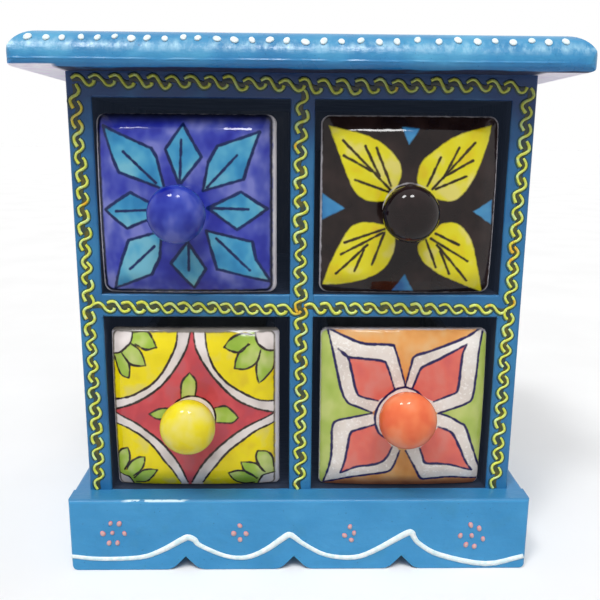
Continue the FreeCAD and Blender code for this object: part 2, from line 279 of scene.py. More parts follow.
def wear(paint, *names):
    """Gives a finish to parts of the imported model."""
    for name in names:
        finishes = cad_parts[name].data.materials
        finishes.clear()
        finishes.append(paint)


upright_enamel = enamel("upright_enamel", (1.6, 1.6, 16))[0]
level_enamel = enamel("level_enamel", (16, 1.6, 1.6))[0]
wear(upright_enamel, "left_side", "right_side", "centre_divider")
wear(level_enamel, "bottom_board", "upper_board", "middle_shelf")


# The back is a thin board pinned on behind the case. It has one thin coat of the same blue, so the board's
# fibres show through.
back_paint = enamel("thin_back_enamel", (1.2, 1.2, 26))[0]
wear(back_paint, "back_panel")


# The twelve pins in the back are plain steel. The nails in the case have flat heads, punched flush and
# painted over. The glue blocks and the plinth's rear rail were never painted, and show their grain.
steel, tree, surface = shader("nail_steel")
surface.inputs["Metallic"].default_value = 1.0
coat(tree, surface, washes(tree, grain(tree, 0.8), (120, 120, 124), (168, 168, 170)),
     patchy(tree, grain(tree, 0.5), 0.3, 0.5), grain(tree, 0.4), 0.3, 0.0001)
wear(steel, "back_panel_pins")
wear(upright_enamel, "left_side_nails", "right_side_nails", "top_board_nails", "divider_nails")

wood, tree, surface = shader("bare_wood")
rings = grain(tree, (40, 1.6, 1.6), 5, roughness=0.6)
coat(tree, surface, washes(tree, rings, (150, 108, 66), (190, 146, 96), (206, 168, 118)),
     patchy(tree, rings, 0.6, 0.85), rings, 0.5, 0.0003)
wear(wood, "glue_blocks", "plinth_back")


# The top is one board with a round moulding along the front and both ends, nailed up from inside. The blue
# stops at its lower edge: the underside is bare primer at the ends, with a painted glow for the light the
# table throws up on it, and near black above the front as painted shade. Pale strokes painted along the
# upper round stand for its highlight, and a darker band along the lower round is painted shade.
ROUND = 0.0095
TOP_BLUE = [(44, 122, 174), (58, 142, 190), (86, 166, 204)]
LOW_ROUND_SHADE_BLUE = (0, 104, 184)
PAINTED_HIGHLIGHT_STROKE = (176, 220, 238)
PAINTED_SHADE_UNDER = [(14, 24, 58), (26, 36, 76)]
PRIMER = [(228, 220, 232), (246, 244, 250)]
PRIMER_PAINTED_LIGHT = (116, 110, 118)
top_low, top_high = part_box("top_board")
top_enamel, tree, surface, (x, y, z) = enamel("top_enamel", (12, 3, 3), TOP_BLUE, (0.2, 0.38))


def reaching(surface, name):
    """What is linked to one of a shader's inputs so far."""
    return surface.inputs[name].links[0].from_socket


height = maths(tree, "ADD", z, spread(tree, grain(tree, 14, 2), 0.3, 0.7, -0.0002, 0.0002))
at_left = spread(tree, x, outer.x - 0.0004, outer.x + 0.0016, 1.0, 0.0)
at_right = spread(tree, x, -outer.x - 0.0024, -outer.x + 0.0004)
behind = spread(tree, y, top_low.y + 0.003, top_low.y + 0.005)
primed = maths(tree, "ADD", at_left, times(tree, at_right, behind))
low_edge = spread(tree, height, top_low.z + 0.0007, top_low.z + 0.0010, 1.0, 0.0)
flat_under = spread(tree, height, top_low.z + 0.0001, top_low.z + 0.0004, 1.0, 0.0)
under = maths(tree, "MAXIMUM", times(tree, at_left, low_edge), flat_under)
# Painted shade: the underside above the front is near black, while the ends keep their pale primer.
underside = mix(tree, primed, washes(tree, grain(tree, 5), *PAINTED_SHADE_UNDER), washes(tree, grain(tree, 6), *PRIMER))

# Painted shade: a darker band along the lower round of the front.
low_round_shade = spread(tree, z, top_low.z + 0.0004, top_low.z + 0.0040, 0.55, 0.0)
tone = mix(tree, low_round_shade, reaching(surface, "Base Color"), LOW_ROUND_SHADE_BLUE)
# Painted highlight: pale broken strokes along the upper round of the front.
strokes = spread(tree, grain(tree, (3.2, 5, 6), 4, roughness=0.65), 0.42, 0.66, 0.0, 0.75)
strokes = times(tree, strokes, spread(tree, y, top_low.y + 0.009, top_low.y + 0.012, 1.0, 0.0))
strokes = times(tree, strokes, within(tree, z, top_high.z - 0.0062, top_high.z - 0.0034, 0.0012))
tone = mix(tree, strokes, tone, PAINTED_HIGHLIGHT_STROKE)
put(tree, surface.inputs["Base Color"], mix(tree, under, tone, underside))
# Painted light: a faint glow on the primed underside at the ends.
put(tree, surface.inputs["Emission Color"], mix(tree, times(tree, under, primed), NO_GLOW, PRIMER_PAINTED_LIGHT))
rough = maths(tree, "ADD", reaching(surface, "Roughness"), times(tree, under, 0.4))
put(tree, surface.inputs["Roughness"], rough)

bump = reaching(surface, "Normal").node
ridge = within(tree, z, top_high.z - ROUND - 0.0001, top_high.z - ROUND + 0.0003, 0.0003)
ridge = times(tree, ridge, spread(tree, grain(tree, (9, 3, 3), 2), 0.35, 0.6, 0, 2.0))
put(tree, bump.inputs["Height"], maths(tree, "ADD", ridge, reaching(bump, "Height")))
wear(top_enamel, "top_board")


# A row of white beads of thick paint runs along the rounded front and ends of the top.
# Each is dropped from a cone, so they differ a little in size and line.
BEADS_AT = [-87.9, -82, -76.9, -70.9, -65.7, -60.3, -55.1, -50.1, -44.4, -38.5, -34, -28, -22.4, -16.7, -11.1,
            -5.6, 0.2, 6.2, 11.9, 18.1, 24, 29.7, 36.4, 43.2, 49.4, 55.6, 61.4, 67.1, 73.2, 78.6, 84.3]
BEAD_SLOPE = 44
BEAD_WIDTHS = (0.0022, 0.0027)
BEAD_HEIGHT = 0.0006
END_BEADS = 16
END_PITCH = 0.0061
chance = random.Random(5)


def place_on(origin, along, up):
    """The matrix that lays a flat drawing on a surface: its X runs along, its Y up, its Z out."""
    along, up = Vector(along), Vector(up)
    return Matrix.Translation(origin) @ Matrix((along, up, along.cross(up))).transposed().to_4x4()


def keep(name, mesh, paint, body):
    """Links a finished mesh, gives it its finish, and says what it rides on."""
    mesh.materials.append(paint)
    piece = bpy.data.objects.new(name, mesh)
    bpy.context.scene.collection.objects.link(piece)
    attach(piece, body)
    return piece


def trim(name, shaping, paint):
    """Finishes a piece of thick paint that lies on the case."""
    bmesh.ops.recalc_face_normals(shaping, faces=shaping.faces)
    for face in shaping.faces:
        face.smooth = True
    mesh = bpy.data.meshes.new(name)
    shaping.to_mesh(mesh)
    shaping.free()
    keep(name, mesh, paint, "case")


def bead(shaping, place, widths):
    """A low drop of paint, flat where it sits, drawn out a little to one side."""
    width = chance.uniform(*widths)
    shape = bmesh.ops.create_uvsphere(shaping, u_segments=14, v_segments=8, radius=1)["verts"]
    pulled, lean = chance.uniform(-0.25, 0.25), chance.uniform(-0.2, 0.2)
    for vert in shape:
        vert.co.z = max(vert.co.z, -0.2)
        vert.co.x += pulled * vert.co.y + lean * max(0, vert.co.x) ** 2
    bmesh.ops.scale(shaping, vec=(width / 2, width / 2 * chance.uniform(1.0, 1.25), BEAD_HEIGHT), verts=shape)
    bmesh.ops.transform(shaping, matrix=place, verts=shape)


def on_moulding(middle, along, outwards, slope):
    """Where a bead sits on the moulding, from the middle of its round and the slope there in degrees."""
    slope = math.radians(slope)
    out = math.sin(slope) * Vector(outwards) + math.cos(slope) * Vector((0, 0, 1))
    return place_on(Vector(middle) + out * (ROUND + 0.0001), along, out.cross(Vector(along)))


white_cone, tree, surface = shader("white_cone_paint")
coat(tree, surface, washes(tree, grain(tree, 1.5), (214, 238, 242), (248, 252, 252)),
     patchy(tree, grain(tree, 1), 0.3, 0.45), grain(tree, 0.7), 0.3, 0.0002)

round_y, round_z = top_low.y + ROUND, top_high.z - ROUND
shaping = bmesh.new()
for x in BEADS_AT:
    slope = (BEAD_SLOPE + 6 * math.exp(-((x - 3) / 28) ** 2)) + chance.uniform(-3, 3)
    bead(shaping, on_moulding((x / 1000, round_y, round_z), (1, 0, 0), (0, -1, 0), slope), BEAD_WIDTHS)
for side in (-1, 1):
    for step in range(END_BEADS):
        slope = BEAD_SLOPE + chance.uniform(-3, 3)
        y = top_low.y + 0.014 + END_PITCH * step + chance.uniform(-0.0004, 0.0004)
        middle = (side * (top_high.x - ROUND), y, round_z)
        bead(shaping, on_moulding(middle, (0, side, 0), (side, 0, 0), slope), BEAD_WIDTHS)
trim("top_beads", shaping, white_cone)


# The plinth wraps the front and both ends under the case, with pointed notches in its lower edge. A raised
# white line follows those of the front. Painted shade darkens its upper ledge, and a pale streak on the
# front's upper edge near its left end is a painted highlight.
# The plinth's blue is a lighter copy of the case's, as painted light on the plinth.
LIT_PLINTH_BLUE = [(52, 140, 194), (62, 148, 202), (72, 156, 208)]
LEDGE_SHADE_BLUE = (44, 98, 140)
PAINTED_EDGE_HIGHLIGHT = (212, 238, 246)
plinth_low, plinth_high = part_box("plinth_front")
for name, along, boards in (("plinth_enamel", (14, 3, 3), ["plinth_front"]),
                            ("plinth_side_enamel", (3, 14, 3), ["plinth_left", "plinth_right"])):
    paint, tree, surface, (x, y, z) = enamel(name, along, LIT_PLINTH_BLUE)
    # Painted shade: the upper ledge of the plinth is darker.
    ledge_shade = spread(tree, z, plinth_high.z - 0.0009, plinth_high.z - 0.0002, 0.0, 0.5)
    tone = mix(tree, ledge_shade, reaching(surface, "Base Color"), LEDGE_SHADE_BLUE)
    if name == "plinth_enamel":
        # Painted highlight: a pale broken streak on the front's upper edge near its left end.
        highlight_span = within(tree, x, -0.0652, -0.0425, 0.0016)
        edge = spread(tree, z, plinth_high.z - 0.0009, plinth_high.z - 0.0005)
        edge = times(tree, edge, spread(tree, y, plinth_low.y + 0.0006, plinth_low.y + 0.0010, 1.0, 0.0))
        edge = times(tree, edge, spread(tree, grain(tree, (3, 1.5, 1.5), 3), 0.42, 0.5, 0.0, 0.85))
        tone = mix(tree, times(tree, highlight_span, edge), tone, PAINTED_EDGE_HIGHLIGHT)
    put(tree, surface.inputs["Base Color"], tone)
    wear(paint, *boards)


def smooth_line(points, steps=8):
    """A smooth line through points given in millimetres."""
    points = np.array(points, float)
    ends = np.vstack([2 * points[0] - points[1], points, 2 * points[-1] - points[-2]])
    t = np.linspace(0, 1, steps, endpoint=False)[:, None]
    parts = []
    for a, b, c, d in zip(ends, ends[1:], ends[2:], ends[3:]):
        parts.append(0.5 * (2 * b + (c - a) * t + (2 * a - 5 * b + 4 * c - d) * t ** 2
                            + (3 * b - a - 3 * c + d) * t ** 3))
    return np.vstack(parts + [points[-1:]])


def cone_work(name, strokes, paint, place, height):
    """Raised lines squeezed from a cone. A stroke is a list of (along, up, width) in millimetres."""
    drawing = bpy.data.curves.new(name, "CURVE")
    drawing.dimensions = "3D"
    drawing.bevel_depth = 0.001
    drawing.bevel_resolution = 2
    drawing.use_fill_caps = True
    for stroke in strokes:
        line = smooth_line(stroke, 4)
        spline = drawing.splines.new("POLY")
        spline.points.add(len(line) - 1)
        for point, (along, up, width) in zip(spline.points, line):
            point.co = (along / 1000, up / 1000, 0, 1)
            point.radius = width / 2
    drawn = bpy.data.objects.new(name, drawing)
    mesh = bpy.data.meshes.new_from_object(drawn)
    bpy.data.objects.remove(drawn)
    shaping = bmesh.new()
    shaping.from_mesh(mesh)
    bpy.data.meshes.remove(mesh)
    bmesh.ops.remove_doubles(shaping, verts=shaping.verts, dist=0.00001)
    widest = max(width for stroke in strokes for _, _, width in stroke)
    bmesh.ops.scale(shaping, vec=(1, 1, 2000 * height / widest), verts=shaping.verts)
    bmesh.ops.transform(shaping, matrix=place, verts=shaping.verts)
    trim(name, shaping, paint)


def facing_front(x, y, z):
    """The matrix that stands a flat drawing upright, facing the front."""
    return place_on((x, y, z), (1, 0, 0), (0, 0, 1))


FRONT_LINE = [
    (-85.8, -22.8, 1.6), (-75.3, -23.9, 1.7), (-60.3, -23.4, 1.8), (-52, -20.5, 2.1), (-44, -15.9, 2.5),
    (-41.8, -15.2, 2.5), (-39.6, -16.2, 2.3), (-37.6, -18.5, 1.9), (-28.3, -22.9, 1.7), (-20.4, -23.6, 1.9),
    (-13, -20.5, 2.2), (-5.6, -15, 2.5), (-3.8, -14.3, 2.4), (-2, -15.4, 2.1), (1.5, -18.2, 1.8),
    (10, -22.8, 1.7), (20.5, -23.8, 2), (28.5, -20.8, 2.2), (39.5, -14.2, 2.6), (42, -13.7, 2.6),
    (43, -15.5, 2.1), (45.5, -18.5, 1.9), (53.3, -23, 2.1), (70.8, -26.8, 2.2), (85.2, -23.6, 2)]
cone_work("plinth_line", [FRONT_LINE], white_cone, facing_front(0, plinth_low.y, plinth_high.z), 0.0005)


# The small flowers on the plinth are drops of coral paint from a finer cone, seven at each end and four at
# the middles of the lobes. Their crowns are painted paler as a highlight.
CORAL_DOTS = [
    (-70.6, -9.2), (-67.4, -9.4), (-73.7, -13.4), (-70.1, -13.1), (-65.6, -13.4), (-71.5, -17.3),
    (-68.4, -17.3), (-22.6, -10.4), (-25, -13.6), (-20.3, -13.7), (-22.5, -16.1), (18.7, -11), (16.7, -14.6),
    (20.3, -13.6), (19.3, -16.5), (64.3, -10.5), (67.6, -11.9), (60.6, -14.9), (64.9, -14.9), (69.3, -16.3),
    (62.9, -18.7), (66.1, -19.4)]
CORAL_WIDTHS = (0.0016, 0.0021)
CORAL = [(206, 110, 110), (214, 140, 140)]
PAINTED_CROWN_HIGHLIGHT = (212, 170, 168)
coral, tree, surface = shader("coral_cone_paint")
_, _, y, _ = directions(tree)
# Painted highlight: the crown of each drop is paler.
crown_highlight = spread(tree, y, plinth_low.y - 0.0005, plinth_low.y - 0.0002, 1.0, 0.0)
tone = mix(tree, crown_highlight, washes(tree, grain(tree, 3), *CORAL), PAINTED_CROWN_HIGHLIGHT)
coat(tree, surface, tone, patchy(tree, grain(tree, 1), 0.35, 0.5), grain(tree, 0.7), 0.3, 0.0002)
shaping = bmesh.new()
for along, up in CORAL_DOTS:
    place = facing_front(along / 1000, plinth_low.y, plinth_high.z + up / 1000)
    bead(shaping, place, CORAL_WIDTHS)
trim("coral_flowers", shaping, coral)


# Rows of small linked scrolls, squeezed from a cone in thick yellow, run along the front edges of the boards.
# The yellow has turned orange where it was put on twice, and painted shade darkens it towards the eaves. A
# dull olive between the hooks and a dark green round each stroke are partly pooled and bled paint and partly
# painted shade.
YELLOW = [(206, 212, 58), (218, 226, 96), (208, 236, 166)]
SHADED_YELLOW = (120, 126, 36)
SHADED_THIN = (16, 26, 42)
ORANGE_RUN = (228, 176, 24)
ORANGE_SPOT = (232, 178, 20)
ORANGE_SPOTS = [(-0.5, 99.5, 3.6, 0.9), (75.6, 121.5, 2.6, 0.9), (-76.6, 167, 6.0, 0.4)]
yellow, tree, surface = shader("yellow_cone_paint")
place, _, _, z = directions(tree)
tone = washes(tree, grain(tree, 2.4, 3), *YELLOW)
tone = mix(tree, spread(tree, grain(tree, 5, 2), 0.67, 0.73), tone, ORANGE_RUN)
# Painted shade: the yellow darkens towards the eaves.
tone = mix(tree, spread(tree, z, 0.150, EAVES, 0.0, 0.55), tone, SHADED_YELLOW)
for along, up, size, share in ORANGE_SPOTS:
    apart = tree.nodes.new("ShaderNodeVectorMath")
    apart.operation = "DISTANCE"
    put(tree, apart.inputs[0], place)
    apart.inputs[1].default_value = (along / 1000, outer.y, up / 1000)
    near = spread(tree, apart.outputs["Value"], size / 2000, size / 1000, share, 0.0)
    tone = mix(tree, near, tone, ORANGE_SPOT)
coat(tree, surface, tone, patchy(tree, grain(tree, 1), 0.3, 0.5), grain(tree, 0.8), 0.4, 0.0002)


def thin_paint(name, *colours):
    """Paint that has run thin and dried dull, and also stands for shade round the strokes. It is darker
    towards the eaves as painted shade, like the enamel it lies on.
    """
    paint, tree, surface = shader(name)
    _, _, _, z = directions(tree)
    tone = washes(tree, grain(tree, 3.5, 2), *colours)
    tone = mix(tree, spread(tree, z, 0.145, EAVES, 0.0, 0.7), tone, SHADED_THIN)
    coat(tree, surface, tone, patchy(tree, grain(tree, 2), 0.4, 0.6), grain(tree, 0.8), 0.3, 0.0001)
    return paint


# Partly thin paint and partly painted shade: the green round each stroke and the olive between the hooks.
green_bleed_and_shade = thin_paint("bled_green_and_painted_shade", (26, 66, 92), (34, 84, 88), (44, 88, 66))
olive_and_shade = thin_paint("pooled_olive_and_painted_shade", (30, 48, 56), (50, 62, 34), (92, 84, 20))

LEVEL_SCROLL = [(-4.0, 1.1), (-3.0, 1.65), (-2.0, 1.95), (-1.0, 1.6), (-0.2, 0.7), (0.4, -0.3), (1.1, -1.35),
                (2.0, -1.95), (3.0, -1.75), (3.7, -1.2), (4.0, -0.4)]
UPRIGHT_SCROLL = [(0.6, 4.2), (1.25, 3.3), (1.7, 2.3), (1.65, 1.3), (0.8, 0.4), (-0.8, -0.4), (-1.65, -1.3),
                  (-1.7, -2.3), (-1.25, -3.3), (-0.6, -4.2)]
SCROLL_ROWS = [
    (LEVEL_SCROLL, [(-74, 178.3), (-64, 178.2), (-22, 177.7), (14, 176.8), (57, 177.8), (72.5, 177.2)],
     6.3, 1.0),
    (LEVEL_SCROLL, [(-71, 100.1), (-36, 99.9), (-4.5, 99.2)], 5.3, 0.86),
    (LEVEL_SCROLL, [(5, 99.8), (21, 99.8), (61, 99.6), (70.5, 99.5)], 5.6, 0.86),
    (UPRIGHT_SCROLL, [(-77, 173), (-76.4, 150), (-76.2, 90), (-76.2, 33)], 6.2, 0.95),
    (UPRIGHT_SCROLL, [(-0.2, 171.5), (-0.8, 150), (-0.4, 110), (0, 80), (0, 33)], 6.2, 1.1),
    (UPRIGHT_SCROLL, [(77, 173), (76.4, 150), (75.4, 90), (75.3, 33)], 6.2, 1.02),
]
POOL_AND_SHADE_WIDTH = 1.7
BLEED_AND_SHADE_WIDTH = 1.0


def scroll_row(shape, middle_line, pitch, size_across):
    """Linked scrolls along the middle line of a row (along, up), each drawn a little differently, and the
    narrower pools between their hooks, partly paint and partly painted shade."""
    points = np.array(middle_line, float)
    run = np.concatenate([[0], np.cumsum(np.hypot(*np.diff(points, axis=0).T))])
    count = round(run[-1] / pitch) + 1
    ends = [0.85] + [1.0] * (len(shape) - 3) + [1.1, 1.2]
    strokes, pools_and_shade = [], []
    for step in range(count):
        at = run[-1] * step / (count - 1)
        x = np.interp(at, run, points[:, 0]) + chance.uniform(-0.2, 0.2)
        z = np.interp(at, run, points[:, 1]) + chance.uniform(-0.2, 0.2)
        long = chance.uniform(0.93, 1.08)
        across = size_across * chance.uniform(0.9, 1.08)
        lean = chance.uniform(-0.12, 0.12)
        wide, tall = (long, across) if shape is LEVEL_SCROLL else (across, long)
        narrow, low = (1, 0.3) if shape is LEVEL_SCROLL else (0.3, 1)
        thick = chance.uniform(0.88, 1.12)
        strokes.append([
            (x + a * wide + b * lean + chance.uniform(-0.1, 0.1), z + b * tall - a * lean, thick * end)
            for (a, b), end in zip(shape, ends)])
        pools_and_shade.append([(x + a * wide * narrow, z + b * tall * low, POOL_AND_SHADE_WIDTH) for a, b in shape])
    return strokes, pools_and_shade


scrolls, pools_and_shade = [], []
for row in SCROLL_ROWS:
    strokes, between = scroll_row(*row)
    scrolls += strokes
    pools_and_shade += between
wide_scrolls = [[(x - 0.1, z - 0.1, width + BLEED_AND_SHADE_WIDTH) for x, z, width in stroke] for stroke in scrolls]
front_of_case = facing_front(0, outer.y, 0)
cone_work("yellow_scrolls", scrolls, yellow, front_of_case, 0.0006)
cone_work("scroll_pools_and_shade", pools_and_shade, olive_and_shade, front_of_case, 0.00012)
cone_work("scroll_bleed_and_shade", wide_scrolls, green_bleed_and_shade, front_of_case, 0.00006)


# Behind each face is a thick box cast in the same clay, open at the top. It was dipped in off-white glaze,
# which has run unevenly and shows small brown specks of the clay.
box_glaze, tree, surface = shader("white_box_glaze")
flow = grain(tree, (14, 14, 20), 4)
tone = washes(tree, flow, (206, 202, 188), (224, 221, 210), (232, 230, 222))
tone = mix(tree, spread(tree, grain(tree, 0.7, 1), 0.72, 0.76, 0, 0.6), tone, (120, 96, 70))
coat(tree, surface, tone, patchy(tree, flow, 0.12, 0.3), grain(tree, 5, 2), 0.25, 0.0004)
PLACES = ("upper_left", "upper_right", "lower_left", "lower_right")
wear(box_glaze, *("drawer_box_" + place for place in PLACES))


# Each drawer's face is a pressed tile, crowned and rolled over at its edges, then painted by hand under a
# clear glaze. The drawing is a set of brush strokes, and its fields are measured from them.
CELLS = 176
CROWN = 0.0016
ROLL = 0.009
EDGE = 0.0008
BACK_RIM = 0.0004
CREASE = 0.7
FAR = 99.0


def rolled(bend, steepest):
    """The line of a tile's edge from the crown outwards: run along it, out, and back. It bends more and more,
    by bend per metre, up to its steepest slope in degrees, runs on so, and turns square over its last EDGE."""
    bent = min(math.tan(math.radians(steepest)) / (2 * bend), ROLL - EDGE)
    slope = math.atan(2 * bend * bent)
    soft = np.linspace(0, bent, 40)
    turn = np.linspace(slope, math.pi / 2, 24)
    radius = EDGE / (1 - math.sin(slope))
    straight = bend * bent ** 2 + (ROLL - EDGE - bent) * math.tan(slope)
    out = np.append(soft, ROLL - EDGE + radius * (np.sin(turn) - math.sin(slope)))
    back = np.append(bend * soft ** 2, straight + radius * (math.cos(slope) - np.cos(turn)))
    return np.append(0, np.cumsum(np.hypot(np.diff(out), np.diff(back)))), out, back


def from_line(at, line, half_width=0.0):
    """How far places are from a line, less half its width. The line thins towards its ends."""
    line = np.array(line, float)
    nearest = np.full(len(at), FAR)
    for step, (start, end) in enumerate(zip(line, line[1:])):
        run = end - start
        length = max(run @ run, 1e-9)
        share = np.clip((at - start) @ run / length, 0, 1)
        gap = np.hypot(*(at - start - share[:, None] * run).T)
        swell = 0.75 + 0.35 * math.sin(math.pi * (step + 0.5) / (len(line) - 1))
        nearest = np.minimum(nearest, gap - half_width * swell)
    return nearest


def is_inside(at, outline):
    """Whether places lie inside an outline, by how often a level line from each crosses it."""
    inside = np.zeros(len(at), bool)
    for (x0, z0), (x1, z1) in zip(outline, np.roll(outline, -1, axis=0)):
        if z0 != z1:
            crosses = (at[:, 1] < max(z0, z1)) & (at[:, 1] >= min(z0, z1))
            inside ^= crosses & (at[:, 0] < x0 + (at[:, 1] - z0) * (x1 - x0) / (z1 - z0))
    return inside


def depth_in(at, outlines):
    """How deep places lie inside the nearest outline, and below zero outside them all."""
    deepest = np.full(len(at), -FAR)
    for outline in outlines:
        gap = from_line(at, np.vstack([outline, outline[:1]]))
        deepest = np.maximum(deepest, np.where(is_inside(at, outline), gap, -gap))
    return deepest


def inked(at, lines, width):
    """Above zero under a brush line of that width."""
    return -np.min([from_line(at, line, width / 2) for line in lines], axis=0)


def edges_of(petals, drawn=smooth_line):
    """The two strokes of each petal (tip, one edge, other edge), both from its tip."""
    return [drawn([tip, *edge]) for tip, *pair in petals for edge in pair]


def outlines_of(edges):
    """Closes each pair of strokes that start at one tip."""
    return [np.vstack([one, other[::-1]]) for one, other in zip(edges[::2], edges[1::2])]


def tile(place, paint, drawn, bend, steepest, corner):
    """A face's mesh. drawn gives, for places on it in millimetres, the fields that its paint reads. bend and
    steepest shape the roll of its edges, and corner rounds its corners."""
    low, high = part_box("drawer_face_" + place)
    half = Vector(((high.x - low.x) / 2, (high.z - low.z) / 2))
    thick = high.y - low.y
    sphere = (half.x ** 2 + CROWN ** 2) / (2 * CROWN)
    roll_run, roll_out, roll_back = rolled(bend, steepest)
    deepest = float(roll_back[-1])
    shaping = bmesh.new()
    bmesh.ops.create_grid(shaping, x_segments=CELLS, y_segments=CELLS, size=1)

    def across(share, half):
        """How far out a share of the tile's arc lies, and how far back the roll has gone there."""
        flat = half - ROLL
        run = abs(share) * (flat + roll_run[-1])
        if run <= flat:
            return math.copysign(run, share), 0.0
        out = flat + float(np.interp(run - flat, roll_run, roll_out))
        return math.copysign(out, share), float(np.interp(run - flat, roll_run, roll_back))

    for vert in shaping.verts:
        x, back_x = across(vert.co.x, half.x)
        z, back_z = across(vert.co.y, half.y)
        past_x = max(0, abs(x) - half.x + corner) / corner
        past_z = max(0, abs(z) - half.y + corner) / corner
        x -= math.copysign(corner * past_x * (1 - math.sqrt(1 - past_z ** 2 / 2)), x)
        z -= math.copysign(corner * past_z * (1 - math.sqrt(1 - past_x ** 2 / 2)), z)
        back = (x * x + z * z) / (2 * sphere) + deepest * (1 - (1 - back_x / deepest) * (1 - back_z / deepest))
        vert.co = (x, z, -min(back, thick - BACK_RIM))
    rim = [edge for edge in shaping.edges if edge.is_boundary]
    for part in bmesh.ops.extrude_edge_only(shaping, edges=rim)["geom"]:
        if isinstance(part, bmesh.types.BMVert):
            part.co.z = -thick
    bmesh.ops.holes_fill(shaping, edges=[edge for edge in shaping.edges if edge.is_boundary])
    shaping.verts.ensure_lookup_table()
    at = np.array([(vert.co.x, vert.co.y) for vert in shaping.verts]) * 1000
    centre = Vector(((low.x + high.x) / 2, low.y, (low.z + high.z) / 2))
    bmesh.ops.transform(shaping, matrix=facing_front(*centre), verts=shaping.verts)
    for face in shaping.faces:
        face.smooth = len(face.verts) == 4
    bmesh.ops.recalc_face_normals(shaping, faces=shaping.faces)
    for edge in shaping.edges:
        edge.smooth = edge.calc_face_angle(0) < CREASE
    mesh = bpy.data.meshes.new("painted_face_" + place)
    shaping.to_mesh(mesh)
    shaping.free()
    for name, values in drawn(at).items():
        mesh.attributes.new(name, "FLOAT", "POINT").data.foreach_set("value", values)
    piece = keep("painted_face_" + place, mesh, paint, place + "_drawer")
    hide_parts("drawer_face_" + place)


def glaze(name, ground, fields, size=(9, 9, 11), stippled=""):
    """Painted colours under a clear glaze. A field is (attribute, colours, softness in millimetres)."""
    paint, tree, surface = shader(name)
    dabs = grain(tree, 1.1, 1)
    tone = washes(tree, grain(tree, size, 2), *ground)
    wobble = spread(tree, grain(tree, 2.2, 2), 0.25, 0.75, -0.16, 0.16)
    for order, (field, colours, soft) in enumerate(fields):
        depth = node(tree, "Attribute", out="Fac", attribute_name=field)
        share = spread(tree, maths(tree, "ADD", depth, wobble), -soft, soft)
        shade = washes(tree, grain(tree, size, 2, (order, order, 1)), *colours)
        if field == stippled:
            shade = mix(tree, spread(tree, dabs, 0.56, 0.7, 0, 0.6), shade, (248, 244, 240))
        tone = mix(tree, share, tone, shade)
    waves = grain(tree, 3.5, 2)
    if stippled:
        thick = spread(tree, node(tree, "Attribute", out="Fac", attribute_name=stippled), 0.3, 0.8, 0, 0.8)
        waves = maths(tree, "ADD", waves, times(tree, dabs, thick))
    coat(tree, surface, tone, patchy(tree, grain(tree, 7), 0.04, 0.09), waves, 0.2, 0.0003)
    surface.inputs["Specular IOR Level"].default_value = 0.28
    return paint


def framed(at, left, right, bottom, top, corner):
    """How far inside a rounded frame places are, in millimetres."""
    middle = np.array([(left + right) / 2, (bottom + top) / 2])
    half = np.array([(right - left) / 2, (top - bottom) / 2]) - corner
    past = np.abs(at - middle) - half
    return corner - np.hypot(*np.maximum(past, 0).T) - np.minimum(past.max(axis=1), 0)


RIM_WHITE = [(196, 192, 200), (222, 218, 222)]


# The upper left face: eight pointed turquoise petals with a vein each, on a clouded violet blue. Painted
# shade darkens the blue along the upper edge, and a dark line frames the tile.
UPPER_LEFT_PETALS = [
    ((-28.4, 27.1), [(-11.4, 19.6), (-9.7, 16.6), (-7.5, 7)], [(-24.7, 16), (-22.7, 11.5), (-9.1, 6.5)]),
    ((-0.7, 27.8), [(5.5, 16.8), (-1.5, 8.2)], [(-6.6, 19.4), (-2.5, 8.2)]),
    ((25.2, 25.3), [(10.9, 20.5), (7.8, 15.1), (5.8, 5.5)], [(21.4, 14.8), (19.7, 9.4), (5.8, 5.5)]),
    ((27.8, -0.8), [(18.8, 5.1), (7.3, -0.4)], [(17.3, -7.9), (7.3, -0.4)]),
    ((28.9, -27), [(23.8, -18.4), (22.5, -12.1), (6.6, -8.2)], [(10.1, -21.8), (8.3, -15.4), (6.6, -8.2)]),
    ((1.6, -29), [(6.2, -21.8), (0.1, -12.1)], [(-6, -19.8), (0.1, -12.1)]),
    ((-26.8, -29.6), [(-12.9, -23.8), (-9.8, -17.8), (-8.7, -8.4)],
     [(-23.1, -18.5), (-20.4, -11.7), (-8.7, -8.4)]),
    ((-28.6, -1.4), [(-19.1, 4.8), (-11, 0.5)], [(-20.7, -7.6), (-11, -3.5)]),
]
UPPER_LEFT_VEINS = [
    [(-21, 18.4), (-10.2, 8.1)], [(-1.2, 22.5), (-2, 8.2)], [(17.5, 17.4), (7.2, 6.6)],
    [(8.6, -0.4), (21.3, -0.8)], [(10.1, -10.9), (21.6, -22.4)], [(0.4, -12.7), (0.2, -22.4)],
    [(-11.5, -13.8), (-20.4, -22)], [(-24.4, -1.8), (-13, -1.1)],
]


def upper_left_drawing(at):
    edges = edges_of(UPPER_LEFT_PETALS, np.array)
    frame_depth = framed(at, -30.0, 29.2, -30.3, 30.8, 2.5)
    return {
        "petals": depth_in(at, outlines_of(edges)),
        "lines": np.maximum(inked(at, edges, 1.1), inked(at, UPPER_LEFT_VEINS, 0.9)),
        # Painted shade along the upper edge of the tile.
        "painted_top_shade": at[:, 1] - 28.7,
        "frame_line": 0.6 - np.abs(frame_depth),
        "rim": -frame_depth - 0.5,
    }


blue_paint = glaze(
    "blue_tile_glaze", [(32, 38, 152), (48, 58, 168), (78, 88, 180), (116, 122, 196)],
    [("petals", [(40, 128, 180), (56, 146, 192), (84, 166, 200), (112, 182, 204)], 0.25),
     ("lines", [(8, 24, 78), (14, 38, 96)], 0.2),
     ("painted_top_shade", [(24, 30, 70), (36, 40, 96)], 1.2),
     ("frame_line", [(14, 18, 44), (22, 26, 52)], 0.3),
     ("rim", RIM_WHITE, 0.3)])
tile("upper_left", blue_paint, upper_left_drawing, bend=55, steepest=26, corner=0.0033)


